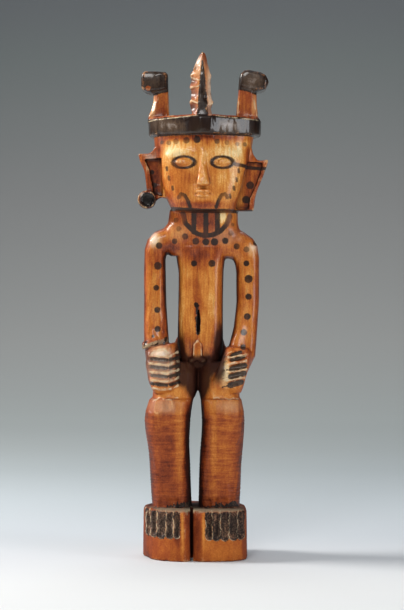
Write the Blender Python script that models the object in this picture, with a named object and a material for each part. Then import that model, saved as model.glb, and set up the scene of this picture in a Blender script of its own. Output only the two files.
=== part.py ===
"""Carved wooden statuette of a standing figure, cut from one log.

The figure faces -Y and stands on +Z. The origin is the middle of its flat underside.
Sizes in this file are millimetres. MM turns them into metres when a mesh is made.
Every form is added to or cut from the single solid named carved_figure.
Right and left are the figure's own, so its right side lies at -X.
"""

import math
from collections import namedtuple

import bmesh
import bpy
from mathutils import Matrix, Vector

MM = 0.001

# Levels that the carver set out on the log, from the underside up
FIGURE_HEIGHT = 300.0
SOLE_TOP = 30.2
KNEE_LEDGE = 95.0
CROTCH = 100.6
NECK_FOOT = 200.0
CHIN = 207.0
CROWN_FOOT = 252.0
CROWN_TOP = 263.3

# Middles from side to side. The head sits a little to the figure's left of its feet
HEAD_X = 4.8
CROWN_X = 5.8
LEAF_X = 4.4

# Points round a large form and round a small one
FINE = 32
COARSE = 16

# A cut through a form. Seen from the front it runs from one end to the other,
# and front and back give its depth
Cut = namedtuple("Cut", "x0 z0 x1 z1 front back")


def clear_scene():
    for old in list(bpy.data.objects):
        bpy.data.objects.remove(old, do_unlink=True)


def object_from_bmesh(name, mesh_data):
    """Closes the bmesh into an object whose faces point outwards."""
    bmesh.ops.recalc_face_normals(mesh_data, faces=mesh_data.faces)
    mesh = bpy.data.meshes.new(name)
    mesh_data.to_mesh(mesh)
    mesh_data.free()
    made = bpy.data.objects.new(name, mesh)
    bpy.context.scene.collection.objects.link(made)
    return made


def power_curve(value, exponent):
    """The signed power that bends a circle's sine and cosine into a squarer outline."""
    return math.copysign(abs(value) ** exponent, value)


def cut_ring(cut, squareness, count):
    """Points round one cut: a circle squared off by its squareness, 2 being a true ellipse."""
    first, last = Vector((cut.x0, 0, cut.z0)), Vector((cut.x1, 0, cut.z1))
    middle, reach = (first + last) / 2, (last - first) / 2
    middle.y, half_depth = (cut.front + cut.back) / 2, (cut.back - cut.front) / 2
    points = []
    for step in range(count):
        angle = 2 * math.pi * (step + 0.5) / count
        across = power_curve(math.cos(angle), 2 / squareness)
        deep = power_curve(math.sin(angle), 2 / squareness)
        points.append(middle + reach * across + Vector((0, half_depth * deep, 0)))
    return points


def loft(name, rings):
    """A closed solid through rings that all have the same number of points."""
    mesh_data = bmesh.new()
    loops = [[mesh_data.verts.new(point * MM) for point in ring] for ring in rings]
    for lower, upper in zip(loops, loops[1:]):
        for index in range(len(lower)):
            following = (index + 1) % len(lower)
            mesh_data.faces.new((lower[index], lower[following], upper[following], upper[index]))
    mesh_data.faces.new(reversed(loops[0]))
    mesh_data.faces.new(loops[-1])
    return object_from_bmesh(name, mesh_data)


def loft_cuts(name, cuts, squareness, count=FINE, shape=None):
    """A form through its cuts, from the first squareness to the last. shape moves each point,
    for hollows and slopes that cross the cuts."""
    first, last = squareness if isinstance(squareness, tuple) else (squareness, squareness)
    rings = []
    for number, cut in enumerate(cuts):
        along = number / (len(cuts) - 1)
        rings.append(cut_ring(cut, first + (last - first) * along, count))
    if shape:
        rings = [[shape(point) for point in ring] for ring in rings]
    return loft(name, rings)


def level(z, x0, x1, front, back):
    """A level cut."""
    return Cut(x0, z, x1, z, front, back)


def plate(name, outline, front, back, bevel):
    """An outline in the front view, cut through from front to back, with its edges eased by a bevel."""
    mesh_data = bmesh.new()
    near = [mesh_data.verts.new(Vector((x, front, z)) * MM) for x, z in outline]
    grown = bmesh.ops.extrude_face_region(mesh_data, geom=[mesh_data.faces.new(near)])
    moved = [item for item in grown["geom"] if isinstance(item, bmesh.types.BMVert)]
    bmesh.ops.translate(mesh_data, verts=moved, vec=Vector((0, back - front, 0)) * MM)
    if bevel:
        bmesh.ops.bevel(mesh_data, geom=mesh_data.edges[:], offset=bevel * MM, segments=1, affect="EDGES")
    return object_from_bmesh(name, mesh_data)


def ellipsoid(name, centre, radii, tilt=0.0, turn=0.0, segments=12, rings=7):
    """A ball stretched to its radii, tilted in the front view and turned about the upright, in degrees."""
    mesh_data = bmesh.new()
    bmesh.ops.create_uvsphere(mesh_data, u_segments=segments, v_segments=rings, radius=1.0)
    place = (
        Matrix.Translation(Vector(centre) * MM)
        @ Matrix.Rotation(math.radians(turn), 4, "Z")
        @ Matrix.Rotation(math.radians(-tilt), 4, "Y")
        @ Matrix.Diagonal((*[radius * MM for radius in radii], 1.0))
    )
    bmesh.ops.transform(mesh_data, matrix=place, verts=mesh_data.verts)
    return object_from_bmesh(name, mesh_data)


def block(name, low, high, turn=None):
    """A box from its lowest to its highest corner, turned about its own middle if a turn is given."""
    low, high = Vector(low) * MM, Vector(high) * MM
    mesh_data = bmesh.new()
    bmesh.ops.create_cube(mesh_data, size=1.0)
    place = Matrix.Translation((low + high) / 2) @ (turn or Matrix()) @ Matrix.Diagonal((*(high - low), 1.0))
    bmesh.ops.transform(mesh_data, matrix=place, verts=mesh_data.verts)
    return object_from_bmesh(name, mesh_data)


def turned_along_y(name, centre, profile, count=COARSE):
    """A turned form whose axis runs from front to back. profile is a list of depths and radii."""
    rings = []
    for depth, radius in profile:
        angles = [2 * math.pi * step / count for step in range(count)]
        spokes = [(radius * math.cos(angle), radius * math.sin(angle)) for angle in angles]
        rings.append([Vector((centre[0] + x, depth, centre[1] + z)) for x, z in spokes])
    return loft(name, rings)


# Where a gouge cut narrows along its length, and by how much
GOUGE_ENDS = ((0.0, 0.3), (0.05, 0.72), (0.14, 1.0), (0.86, 1.0), (0.95, 0.72), (1.0, 0.3))


def gouge(name, start, end, half_width, depth, count=10):
    """A long cut with round ends, as a gouge leaves it, from one point on a face to another."""
    start, end = Vector(start), Vector(end)
    along = (end - start).normalized()
    across = along.cross(Vector((0, 1, 0))).normalized()
    inwards = across.cross(along)
    rings = []
    for place, size in GOUGE_ENDS:
        ring = []
        for step in range(count):
            angle = 2 * math.pi * step / count
            spoke = across * (half_width * math.cos(angle)) + inwards * (depth * math.sin(angle))
            ring.append(start.lerp(end, place) + spoke * size)
        rings.append(ring)
    return loft(name, rings)


# Plan of the base block. Its front right corner was the outside of the log and is rounded away
BASE_FRONT_EDGE = [(-31.5, 8.0), (-31.2, -3.0), (-28.8, -12.0), (-25.2, -18.6), (-20.4, -23.6)]
BASE_FRONT_EDGE += [(-14.4, -27.0), (-7.0, -28.6), (2.0, -29.0), (12.0, -28.4), (22.0, -26.4)]
BASE_FRONT_EDGE += [(28.0, -22.6), (30.6, -17.6), (31.2, -9.0), (31.0, 8.0)]
BASE_BACK_EDGE = [(28.6, 17.0), (21.0, 24.0), (8.0, 27.4), (-8.0, 27.4), (-21.0, 24.0), (-28.8, 17.0)]
BASE_REACH = 30.0


def base_front(x):
    """How far forward the base block reaches at a place across it."""
    for (x0, y0), (x1, y1) in zip(BASE_FRONT_EDGE, BASE_FRONT_EDGE[1:]):
        if x0 <= x <= x1:
            return y0 + (y1 - y0) * (x - x0) / (x1 - x0)
    return BASE_FRONT_EDGE[-1][1]


def base_block():
    """The block under both feet, with worn edges."""
    plan = BASE_FRONT_EDGE + BASE_BACK_EDGE
    rings = []
    for z, inset in ((0.0, 0.8), (1.0, 0.0), (SOLE_TOP - 2.4, 0.3), (SOLE_TOP - 0.6, 1.3), (SOLE_TOP, 3.2)):
        scale = 1 - inset / BASE_REACH
        rings.append([Vector((x * scale, y * scale, z)) for x, y in plan])
    return loft("base_block", rings)


def toe_flutes():
    """Five gouge cuts down the front of each foot. The ridges left between them mark off the toes."""
    edges = {
        "right": (-29.4, -26.8, -22.6, -17.2, -12.7, -8.9),
        "left": (6.3, 10.2, 14.9, 20.2, 25.1, 29.4),
    }
    tip, made = {"right": 14.8, "left": 13.8}, []
    for side, marks in edges.items():
        for number, (start, end) in enumerate(zip(marks, marks[1:])):
            middle = (start + end) / 2
            slant = math.hypot(end - start, base_front(end) - base_front(start)) / 2
            face = base_front(middle) - 0.2
            foot, top = (middle, face, tip[side]), (middle, face, SOLE_TOP + 2)
            made.append(gouge(f"{side}_toe_flute_{number + 1}", foot, top, slant * 0.94, 1.3))
    return made


def foot_gap():
    """The saw slot between the feet, with its two sides opened into a shallow V in front."""
    slot = block("foot_slot", (-2.8, -40, -3), (-1.1, -10, 40))
    opening = [(-8.4, -31.0), (7.6, -31.0), (-1.1, -25.0), (-2.8, -25.0)]
    vee = loft("foot_vee", [[Vector((x, y, z)) for x, y in opening] for z in (-3.0, 40.0)])
    return [slot, vee]


def legs():
    """Shins that lean forward to a ledge at the knee, and thighs that set back above it."""
    right = [
        level(SOLE_TOP - 4, -25.4, -1.9, -14.5, 15),
        level(45.5, -26.9, -2.8, -15.5, 16),
        level(56.3, -27.5, -3.1, -17, 17),
        level(66, -28.4, -3.6, -18.8, 17),
        level(75, -29.8, -3.3, -21.2, 15.5),
        level(82.2, -30.2, -2.8, -23.4, 13.5),
        level(87.5, -29.6, -2.4, -24.8, 12.5),
        level(KNEE_LEDGE - 0.7, -27.4, -1.2, -23.6, 12),
        level(KNEE_LEDGE, -26.6, -1.0, -22.6, 12),
        level(KNEE_LEDGE + 0.6, -25.6, -0.4, -20.4, 12.6),
        level(CROTCH - 1.2, -25.2, 1.2, -19.4, 16),
        level(110, -25.6, 2.2, -17.6, 20),
        level(117, -22.4, 1.6, -14, 14),
    ]
    left = [
        level(SOLE_TOP - 4, 1.8, 26.6, -14.5, 15),
        level(45.5, 2.3, 27.5, -15.5, 16),
        level(56.3, 2.6, 27.9, -17, 17),
        level(66, 3.2, 28.8, -18.8, 17),
        level(75, 4.0, 29.4, -21.2, 15.5),
        level(82.2, 4.1, 29.5, -23.4, 13.5),
        level(87.5, 3.8, 29.2, -24.8, 12.5),
        level(KNEE_LEDGE - 0.7, 3.4, 27.8, -23.6, 12),
        level(KNEE_LEDGE, 3.3, 27.2, -22.6, 12),
        level(KNEE_LEDGE + 0.6, 3.1, 26.6, -20.4, 12.6),
        level(CROTCH - 1.2, 2.2, 26.6, -19.4, 16),
        level(110, 1.6, 28.4, -17.6, 20),
        level(117, 3.0, 25.6, -14, 14),
    ]
    return [loft_cuts("right_leg", right, 2.8), loft_cuts("left_leg", left, 2.8)]


def hips():
    """The seat and lower belly that join the thighs to the torso."""
    cuts = [
        level(CROTCH - 0.4, -9.0, 12.5, 0, 16),
        level(104, -19.5, 22.5, -5, 23),
        level(111, -24.4, 27.4, -7, 25.5),
        level(118, -21.6, 25.4, -7, 24),
        level(126, -13.5, 18.5, -5, 19),
        level(136, -9.0, 15.4, -3, 15.6),
    ]
    return loft_cuts("hips", cuts, 2.7)


def torso_channel(point):
    """The shallow hollow that runs down the middle of the torso's front."""
    if point.y < 0 and 118 < point.z < 182:
        point.y += 1.5 * math.exp(-(((point.x - 1.4) / 4.4) ** 2))
    return point


def torso():
    """The long plain trunk between the arms, rounded under at its foot."""
    cuts = [
        level(111.5, -4.6, 10.0, -7, 14),
        level(114, -8.0, 13.6, -11, 15),
        level(119, -9.8, 15.8, -14.2, 16),
        level(128, -10.6, 16.8, -15.6, 16),
        level(150, -10.2, 16.8, -15.4, 15.5),
        level(172, -10.1, 17.0, -14.8, 15),
        level(180, -11.4, 18.2, -14.6, 14.6),
        level(186, -15.0, 22.0, -14.4, 14.4),
    ]
    return loft_cuts("torso", cuts, 3.4, 36, torso_channel)


def shoulders_and_neck():
    """The top of the chest, narrowing into the broad neck."""
    cuts = [
        level(180.5, -15.0, 21.0, -13.2, 13.6),
        level(185, -22.0, 28.0, -13.6, 14.0),
        level(189.6, -24.0, 31.0, -14.2, 14.0),
        level(193.2, -23.4, 29.4, -14.8, 13.6),
        level(196.4, -19.6, 26.8, -15.4, 13.2),
        level(NECK_FOOT, -16.4, 25.9, -16.2, 12.8),
        level(CHIN + 1, -15.2, 25.6, -17.4, 12.8),
    ]
    return loft_cuts("shoulders_and_neck", cuts, 3.0, 36)


def arms():
    """Arms that leave the chest in a round shoulder, hang straight, and come forward to the wrist."""
    right = [
        Cut(-9.0, 199.0, -7.0, 179.0, -11.5, 11.5),
        Cut(-18.6, 197.4, -12.2, 182.2, -12.6, 12.0),
        Cut(-24.6, 194.8, -15.0, 182.5, -12.8, 11.6),
        Cut(-28.4, 190.6, -16.8, 181.2, -12.6, 10.8),
        Cut(-30.4, 184.4, -17.7, 179.0, -12.4, 9.8),
        Cut(-30.8, 172.0, -17.6, 171.0, -12.2, 8.6),
        Cut(-30.8, 150.0, -17.3, 150.0, -13.4, 6.4),
        Cut(-30.7, 137.0, -16.3, 137.0, -15.6, 3.6),
        Cut(-30.3, 127.0, -15.6, 128.0, -18.4, 0.0),
        Cut(-29.3, 118.0, -15.6, 119.0, -20.5, -3.0),
    ]
    left = [
        Cut(15.0, 199.0, 13.0, 176.5, -11.5, 11.5),
        Cut(24.4, 197.2, 17.6, 178.6, -12.4, 12.0),
        Cut(30.4, 194.2, 20.4, 179.0, -12.6, 11.6),
        Cut(34.6, 191.2, 22.7, 178.2, -12.6, 10.8),
        Cut(37.4, 186.8, 24.1, 175.0, -12.4, 9.8),
        Cut(38.5, 179.0, 24.8, 170.0, -12.2, 8.6),
        Cut(38.4, 153.0, 24.9, 153.0, -13.4, 6.4),
        Cut(37.5, 139.4, 23.3, 138.0, -15.6, 3.6),
        Cut(36.6, 129.0, 20.9, 129.0, -18.4, 0.0),
        Cut(35.8, 120.6, 18.4, 120.6, -20.5, -3.0),
        Cut(31.4, 111.4, 18.0, 112.6, -20.0, -4.0),
    ]
    return [loft_cuts("right_arm", right, 3.0, 24), loft_cuts("left_arm", left, 3.0, 24)]


def fold_back(fold_x, slope, way):
    """Bends a hand's front face back along an upright fold, on the side that way points to."""

    def shape(point):
        beyond = max(0.0, (point.x - fold_x) * way)
        nearness = min(1.0, max(0.0, (-13 - point.y) / 11))
        point.y += slope * beyond * nearness
        return point

    return shape


def hands():
    """Closed hands laid on the thighs."""
    right = [
        level(98.6, -24.2, -9.8, -19.6, -8),
        level(101.6, -25.8, -8.8, -23.2, -8),
        level(106.5, -27.8, -8.3, -25.4, -8),
        level(115.6, -29.3, -8.8, -26.6, -8),
        level(121.6, -28.8, -9.2, -26.2, -8),
        Cut(-28.6, 123.6, -10.2, 127.4, -24.6, -8),
        Cut(-27.4, 125.6, -11.4, 129.0, -21.4, -8),
    ]
    left = [
        level(98.8, 13.6, 27.2, -19.4, -8),
        level(102.0, 9.6, 28.6, -22.2, -8),
        level(106.4, 9.4, 29.8, -24.8, -8),
        level(112.0, 13.4, 31.4, -26.2, -8),
        level(117.0, 15.3, 32.8, -26.2, -8),
        level(122.6, 17.3, 33.4, -25.2, -8),
        Cut(18.8, 126.4, 32.4, 125.4, -21.8, -8),
    ]
    return [
        loft_cuts("right_hand", right, 3.4, 28, fold_back(-16.4, 0.7, 1)),
        loft_cuts("left_hand", left, 3.4, 28, fold_back(20.4, 0.42, -1)),
    ]


def finger_flutes():
    """Gouge cuts across the front of each hand. The ridges left between them mark off the fingers."""
    made = []
    for number, (z, front) in enumerate(((118.5, -26.5), (113.6, -26.4), (108.6, -25.8), (103.7, -24.5))):
        outer_end, fold, tip = (-27.2, front, z + 0.7), (-15.4, front, z - 0.5), (-8.4, front + 6.4, z + 1.8)
        made.append(gouge(f"right_finger_{number + 1}", outer_end, fold, 1.9, 1.7))
        made.append(gouge(f"right_fingertip_{number + 1}", fold, tip, 1.7, 1.5))
    left = ((122.7, 19.8, 28.6, -25.4, 1.4), (119.4, 19.4, 30.4, -26.1, 1.4), (114.6, 18.8, 31.2, -26.4, 2.0))
    left += ((109.8, 18.0, 30.8, -25.9, 2.0), (104.9, 17.6, 29.2, -24.5, 2.0))
    for number, (z, inner, outer, front, half_width) in enumerate(left):
        inner_end, outer_end = (inner, front, z - 1.0), (outer, front, z + 1.0)
        made.append(gouge(f"left_finger_{number + 1}", inner_end, outer_end, half_width, 1.7))
    return made


def wrist_cord():
    """The broad cord carved round the right wrist, wider on its outer side."""
    cuts = [
        Cut(-31.1, 124.4, -20.8, 128.2, -19.8, 0.2),
        Cut(-31.7, 125.2, -20.4, 128.8, -20.6, 0.9),
        Cut(-31.7, 128.2, -20.4, 130.4, -20.2, 0.9),
        Cut(-31.1, 129.0, -20.8, 131.2, -19.0, 0.2),
    ]
    return loft_cuts("wrist_cord", cuts, 2.8, COARSE)


def loin_carving():
    """The small upright bar and its two swellings, low on the belly."""
    bar = [(-0.9, 118.0), (-1.4, 121.0), (-1.3, 127.6), (1.6, 130.8)]
    bar += [(4.2, 128.0), (4.2, 121.0), (3.6, 118.0)]
    made = [plate("loin_bar", bar, -17.6, -8, 0.8)]
    for side, x in (("right", -1.9), ("left", 4.4)):
        made.append(ellipsoid(f"{side}_loin_swelling", (x, -13.4, 118.2), (2.4, 3.8, 2.0), 0, 0, 10, 6))
    return made


def torso_split():
    """The old drying split down the middle of the trunk, wide in its middle and pointed at both ends."""
    foot, top, widest, steps = 131.3, 153.5, 1.5, 8
    rings = []
    for step in range(steps + 1):
        along = step / steps
        half = max(0.08, widest * math.sin(math.pi * along**0.85) ** 1.2)
        middle = 1.2 + 0.9 * math.sin(math.pi * along)
        corners = ((-half, -20), (half, -20), (half * 0.4, -8), (-half * 0.4, -8))
        z = foot + (top - foot) * along
        rings.append([Vector((middle + side, y, z)) for side, y in corners])
    return loft("torso_split", rings)


def keeled(point, middle, half_width, amount):
    """Draws a point of a round front in beside the middle, so that the front comes to a blunt keel."""
    if point.y < 0:
        aside = min(1.0, abs(point.x - middle) / half_width)
        point.y *= 1 - amount * aside * (1 - aside**3)
    return point


def brow_keel(point):
    """The head's front keels more and more towards the crown."""
    rise = max(0.0, (point.z - CHIN - 22) / (CROWN_FOOT - CHIN - 22))
    return keeled(point, HEAD_X, 30.2, 0.34 * rise)


def head():
    """The head, tapering from a broad brow to a firm chin, with a flat face."""
    cuts = [
        level(CHIN - 1.0, HEAD_X - 15.5, HEAD_X + 15.5, -20.5, 13.0),
        level(CHIN + 0.6, HEAD_X - 18.6, HEAD_X + 18.6, -23.2, 14.5),
        level(CHIN + 8, HEAD_X - 22.0, HEAD_X + 22.0, -24.4, 17.0),
        level(CHIN + 18, HEAD_X - 25.4, HEAD_X + 25.4, -24.2, 19.4),
        level(CHIN + 28, HEAD_X - 28.2, HEAD_X + 28.2, -24.8, 20.6),
        level(CHIN + 36, HEAD_X - 29.0, HEAD_X + 29.0, -25.6, 21.0),
        level(CROWN_FOOT + 2, HEAD_X - 29.8, HEAD_X + 30.6, -26.0, 21.6),
    ]
    return loft_cuts("head", cuts, (3.5, 2.3), 36, brow_keel)


# The face is laid out on the classic scheme: eyes halfway up the head, one eye apart,
# the foot of the nose halfway from eyes to chin, and the lips a third of the way below it
HEAD_RISE = CROWN_TOP - CHIN
EYE_LEVEL = CHIN + HEAD_RISE / 2
EYE_LENGTH = 11.4
NOSE_FOOT = CHIN + HEAD_RISE / 4 + 0.8
LIP_LEVEL = NOSE_FOOT - (NOSE_FOOT - CHIN) / 3


def eye_sockets():
    """Two almond hollows below the brow."""
    made = []
    for side, way in (("right", -1), ("left", 1)):
        centre = (HEAD_X + way * EYE_LENGTH, -25.4, EYE_LEVEL)
        made.append(ellipsoid(f"{side}_socket", centre, (6.4, 2.9, 3.7), way * 3))
    return made


def eyelids():
    """Two closed lids, each a smaller almond that fills its hollow."""
    made = []
    for side, way in (("right", -1), ("left", 1)):
        centre = (HEAD_X + way * EYE_LENGTH, -22.4, EYE_LEVEL + 0.2)
        made.append(ellipsoid(f"{side}_eyelid", centre, (5.2, 2.9, 2.5), way * 3))
    return made


def nose():
    """A straight wedge from the brow, widest and deepest at its foot."""
    bridge, wing = 2.1, 3.9
    profile = [(NOSE_FOOT - 0.6, wing - 0.8, -27.4), (NOSE_FOOT + 0.5, wing, -29.6)]
    profile += [(NOSE_FOOT + 4, wing - 0.6, -29.2), (EYE_LEVEL - 2, bridge + 0.4, -26.8)]
    profile += [(EYE_LEVEL + 5, bridge, -26.0), (EYE_LEVEL + 8.5, bridge, -25.2)]
    rings = []
    for z, half, front in profile:
        corners = ((-half, -20.0), (-half, front + 1.6), (-half * 0.5, front), (half * 0.5, front))
        corners += ((half, front + 1.6), (half, -20.0))
        rings.append([Vector((HEAD_X + side, y, z)) for side, y in corners])
    return loft("nose", rings)


def lips():
    """Closed lips: an upper and a lower roll that meet on one level line."""
    return [
        ellipsoid("upper_lip", (HEAD_X, -24.0, LIP_LEVEL + 1.15), (5.2, 2.6, 1.5)),
        ellipsoid("lower_lip", (HEAD_X, -23.9, LIP_LEVEL - 1.15), (4.6, 2.6, 1.5)),
    ]


def ears():
    """Two flaring ears. The right one narrows to a lobe that holds the ear ornament."""
    right = [(-20.0, 247.0), (-24.2, 245.6), (-25.4, 243.2), (-27.4, 241.6), (-34.2, 241.6)]
    right += [(-33.0, 236.6), (-30.7, 232.0), (-29.9, 228.0), (-29.0, 220.0), (-27.0, 211.0)]
    right += [(-20.8, 215.4), (-12.0, 214.0), (-12.0, 240.0)]
    left = [(28.0, 250.0), (33.6, 246.0), (34.6, 241.4), (37.2, 237.6), (40.4, 237.4), (43.8, 238.1)]
    left += [(42.6, 233.2), (40.3, 226.9), (37.6, 220.8), (35.8, 214.4), (35.1, 207.2), (25.5, 207.2)]
    left += [(18.0, 212.0)]
    return [plate("right_ear", right, -10.5, -1.5, 0.7), plate("left_ear", left, -10.5, -1.5, 0.7)]


def ear_channels():
    """The hollow down the front of each ear, between its rim and the head."""
    right = [(-20.0, 238.6), (-30.4, 238.2), (-27.4, 232.0), (-26.2, 226.0), (-24.6, 217.2), (-19.4, 215.8)]
    left = [(31.0, 236.4), (40.4, 236.0), (39.8, 232.0), (36.6, 223.0), (32.8, 214.6), (31.9, 208.0)]
    left += [(24.0, 208.2), (27.0, 220.0)]
    return [plate("right_ear_channel", right, -20, -7.0, 0), plate("left_ear_channel", left, -20, -7.4, 0)]


EAR_ORNAMENT = (-28.9, 214.0)


def ear_ornament():
    """The round plug in the right lobe."""
    profile = [(-13.2, 4.9), (-12.6, 5.5), (-3.4, 5.5), (-2.6, 4.9)]
    return turned_along_y("ear_ornament", EAR_ORNAMENT, profile)


def ear_ornament_hollow():
    """The sunk round face of the plug."""
    x, z = EAR_ORNAMENT
    return turned_along_y("ear_ornament_hollow", (x + 0.3, z), [(-20, 4.2), (-12.2, 3.8)])


def crown_keel(point):
    """The crown's front keels like the brow, with a sharper ridge under the leaf."""
    if point.y < 0:
        point.y -= 2.4 * max(0.0, 1 - abs(point.x - LEAF_X) / 15)
    return keeled(point, CROWN_X, 34.0, 0.34)


def crown_band():
    """The broad band round the head, closed over on top, with its upper edge cut back."""
    half_width, front, back = 33.9, -29.4, 26.0
    levels = ((CROWN_FOOT, 1.0), (CROWN_FOOT + 1.0, 0.2), (CROWN_TOP - 2.0, 0.0), (CROWN_TOP, 1.4))
    cuts = [
        level(z, CROWN_X - half_width + inset, CROWN_X + half_width - inset, front + inset, back - inset)
        for z, inset in levels
    ]
    return loft_cuts("crown_band", cuts, 2.2, 40, crown_keel)


def crown_leaf():
    """The tall leaf at the front of the crown: a flat ridge in front, two flanks, and toothed edges."""
    foot = CROWN_FOOT + 4.0
    edges = [(foot, -1.2, 10.2), (262.4, -1.2, 10.2), (266.8, -2.3, 9.2), (270.6, -3.2, 11.0)]
    edges += [(272.4, -2.3, 9.7), (277.6, -2.1, 9.1), (279.6, -3.2, 9.2), (283.6, -1.8, 9.1)]
    edges += [(286.6, -2.8, 9.7), (288.6, -1.6, 8.6), (292.6, -0.1, 7.8), (298.0, 2.2, 6.5)]
    edges += [(FIGURE_HEIGHT, 3.9, 5.7)]
    rings = []
    for z, left, right in edges:
        rise = (z - foot) / (FIGURE_HEIGHT - foot)
        ridge_half = max(0.25, 2.9 * (1 - rise**1.4))
        ridge, edge, thick = -29.6 + 3.0 * rise, -24.0 + 1.4 * rise, 1.9 * (1 - rise) + 0.5
        outline = [(LEAF_X - ridge_half, ridge), (LEAF_X + ridge_half, ridge)]
        outline += [(right, edge - thick), (right, edge + thick), (LEAF_X, edge + 2.6 * thick)]
        outline += [(left, edge + thick), (left, edge - thick)]
        rings.append([Vector((x, y, z)) for x, y in outline])
    return loft("crown_leaf", rings)


def crown_horns():
    """The two posts on the crown, each with a thick knob that turns outwards."""
    foot = CROWN_TOP - 4.0
    right_post = [(-15.2, foot), (-16.0, 278.5), (-16.3, 288.0), (-25.0, 288.0), (-25.1, 273.0)]
    right_post += [(-26.2, 268.4), (-28.3, 263.6), (-28.3, foot)]
    right_knob = [(-16.3, 290.4), (-24.0, 291.0), (-31.2, 290.8), (-32.5, 288.8), (-32.4, 280.8)]
    right_knob += [(-28.4, 277.5), (-24.4, 277.8), (-16.2, 280.4)]
    left_post = [(37.7, foot), (37.7, 264.0), (36.9, 270.7), (36.6, 286.0), (26.4, 286.0), (25.6, 273.4)]
    left_post += [(24.4, 264.0), (24.4, foot)]
    left_knob = [(26.4, 281.4), (26.5, 288.4), (28.3, 291.2), (30.8, 292.3), (35.8, 291.2), (41.3, 290.0)]
    left_knob += [(44.1, 286.2), (43.6, 281.8), (40.8, 279.2), (36.8, 278.6), (33.4, 279.6)]
    return [
        plate("right_horn_post", right_post, -8.0, 4.0, 0.9),
        plate("right_horn_knob", right_knob, -9.4, 5.4, 1.3),
        plate("left_horn_post", left_post, -8.0, 4.0, 0.9),
        plate("left_horn_knob", left_knob, -9.4, 5.4, 1.6),
    ]


def carved_wood():
    """Warm oiled hardwood."""
    material = bpy.data.materials.new("carved_wood")
    material.use_nodes = True
    shader = material.node_tree.nodes["Principled BSDF"]
    shader.inputs["Base Color"].default_value = (0.47, 0.19, 0.06, 1.0)
    shader.inputs["Roughness"].default_value = 0.42
    shader.inputs["Metallic"].default_value = 0.0
    return material


def combine(body, tool, operation):
    """Adds a form to the body or cuts it away, and keeps the form as a hidden guide."""
    step = body.modifiers.new(f"{operation.lower()} {tool.name}", "BOOLEAN")
    step.operation = operation
    step.solver = "EXACT"
    step.object = tool
    tool.hide_render = True
    tool.display_type = "WIRE"


def main():
    clear_scene()
    figure = base_block()
    figure.name = "carved_figure"
    for cut in [*toe_flutes(), *foot_gap()]:
        combine(figure, cut, "DIFFERENCE")
    body = [*legs(), hips(), torso(), shoulders_and_neck(), *arms(), *hands(), wrist_cord(), *loin_carving()]
    for form in [*body, head(), *ears()]:
        combine(figure, form, "UNION")
    for cut in [*finger_flutes(), torso_split(), *ear_channels(), *eye_sockets()]:
        combine(figure, cut, "DIFFERENCE")
    for form in [*eyelids(), nose(), *lips(), ear_ornament(), crown_band(), crown_leaf(), *crown_horns()]:
        combine(figure, form, "UNION")
    combine(figure, ear_ornament_hollow(), "DIFFERENCE")
    figure.data.materials.append(carved_wood())
    figure.data.shade_smooth()
    figure.data.set_sharp_from_angle(angle=math.radians(35))


main()
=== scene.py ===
# Statuette carved from one log: its camera, studio, carved surface, paint and wood.
# The figure faces -Y and stands on +Z. Its right side is at -X. Sizes in the settings are millimetres.
import math

import bpy
import numpy as np
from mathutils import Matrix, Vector, kdtree, noise
from mathutils.bvhtree import BVHTree


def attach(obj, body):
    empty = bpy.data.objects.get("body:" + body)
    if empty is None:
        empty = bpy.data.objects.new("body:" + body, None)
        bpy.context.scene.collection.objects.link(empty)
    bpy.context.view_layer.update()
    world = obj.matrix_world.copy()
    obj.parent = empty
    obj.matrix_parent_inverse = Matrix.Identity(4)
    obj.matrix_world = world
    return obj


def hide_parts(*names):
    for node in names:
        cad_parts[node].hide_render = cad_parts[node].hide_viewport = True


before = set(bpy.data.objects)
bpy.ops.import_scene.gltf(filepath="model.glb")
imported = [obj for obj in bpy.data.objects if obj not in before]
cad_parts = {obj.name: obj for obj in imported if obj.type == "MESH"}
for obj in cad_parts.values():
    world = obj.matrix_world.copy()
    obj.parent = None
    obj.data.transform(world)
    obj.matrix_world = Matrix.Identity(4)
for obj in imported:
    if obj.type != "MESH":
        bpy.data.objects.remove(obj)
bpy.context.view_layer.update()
mm = 0.001


def activate(piece):
    for other in bpy.context.selected_objects:
        other.select_set(False)
    piece.select_set(True)
    bpy.context.view_layer.objects.active = piece


def applyModifier(piece, kind, **settings):
    activate(piece)
    step = piece.modifiers.new(kind.title(), kind)
    for key, value in settings.items():
        setattr(step, key, value)
    bpy.ops.object.modifier_apply(modifier=step.name)


# Camera: straight on and level with the hands
cameraSet = {
    "across": 4.12,
    "distance": 1100.0,
    "height": 154.0,
    "focalPixels": 1824.1,
    "imageHeight": 610,
    "horizonRow": 300,
    "sensor": 36.0,
}


def addCamera():
    s = cameraSet
    bpy.ops.object.camera_add(
        location=(s["across"] * mm, -s["distance"] * mm, s["height"] * mm),
        rotation=(math.radians(90), 0, 0),
    )
    camera = bpy.context.object
    camera.name = "camera"
    camera.data.sensor_width = s["sensor"]
    camera.data.lens = s["focalPixels"] * s["sensor"] / s["imageHeight"]
    camera.data.shift_y = (s["horizonRow"] - s["imageHeight"] / 2) / s["imageHeight"]
    bpy.context.scene.camera = camera


addCamera()
bpy.context.scene.view_settings.view_transform = "Standard"
bpy.context.scene.view_settings.look = "None"
print("camera placed")


# Shader maths. A Wire is one socket of a node, and arithmetic on it adds Math nodes
class Wire:
    def __init__(self, sheet, socket):
        self.sheet = sheet
        self.socket = socket

    def __add__(self, other):
        return self.sheet.math("ADD", self, other)

    def __sub__(self, other):
        return self.sheet.math("SUBTRACT", self, other)

    def __rsub__(self, other):
        return self.sheet.math("SUBTRACT", other, self)

    def __mul__(self, other):
        return self.sheet.math("MULTIPLY", self, other)

    def __truediv__(self, other):
        return self.sheet.math("DIVIDE", self, other)

    __radd__ = __add__
    __rmul__ = __mul__


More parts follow.
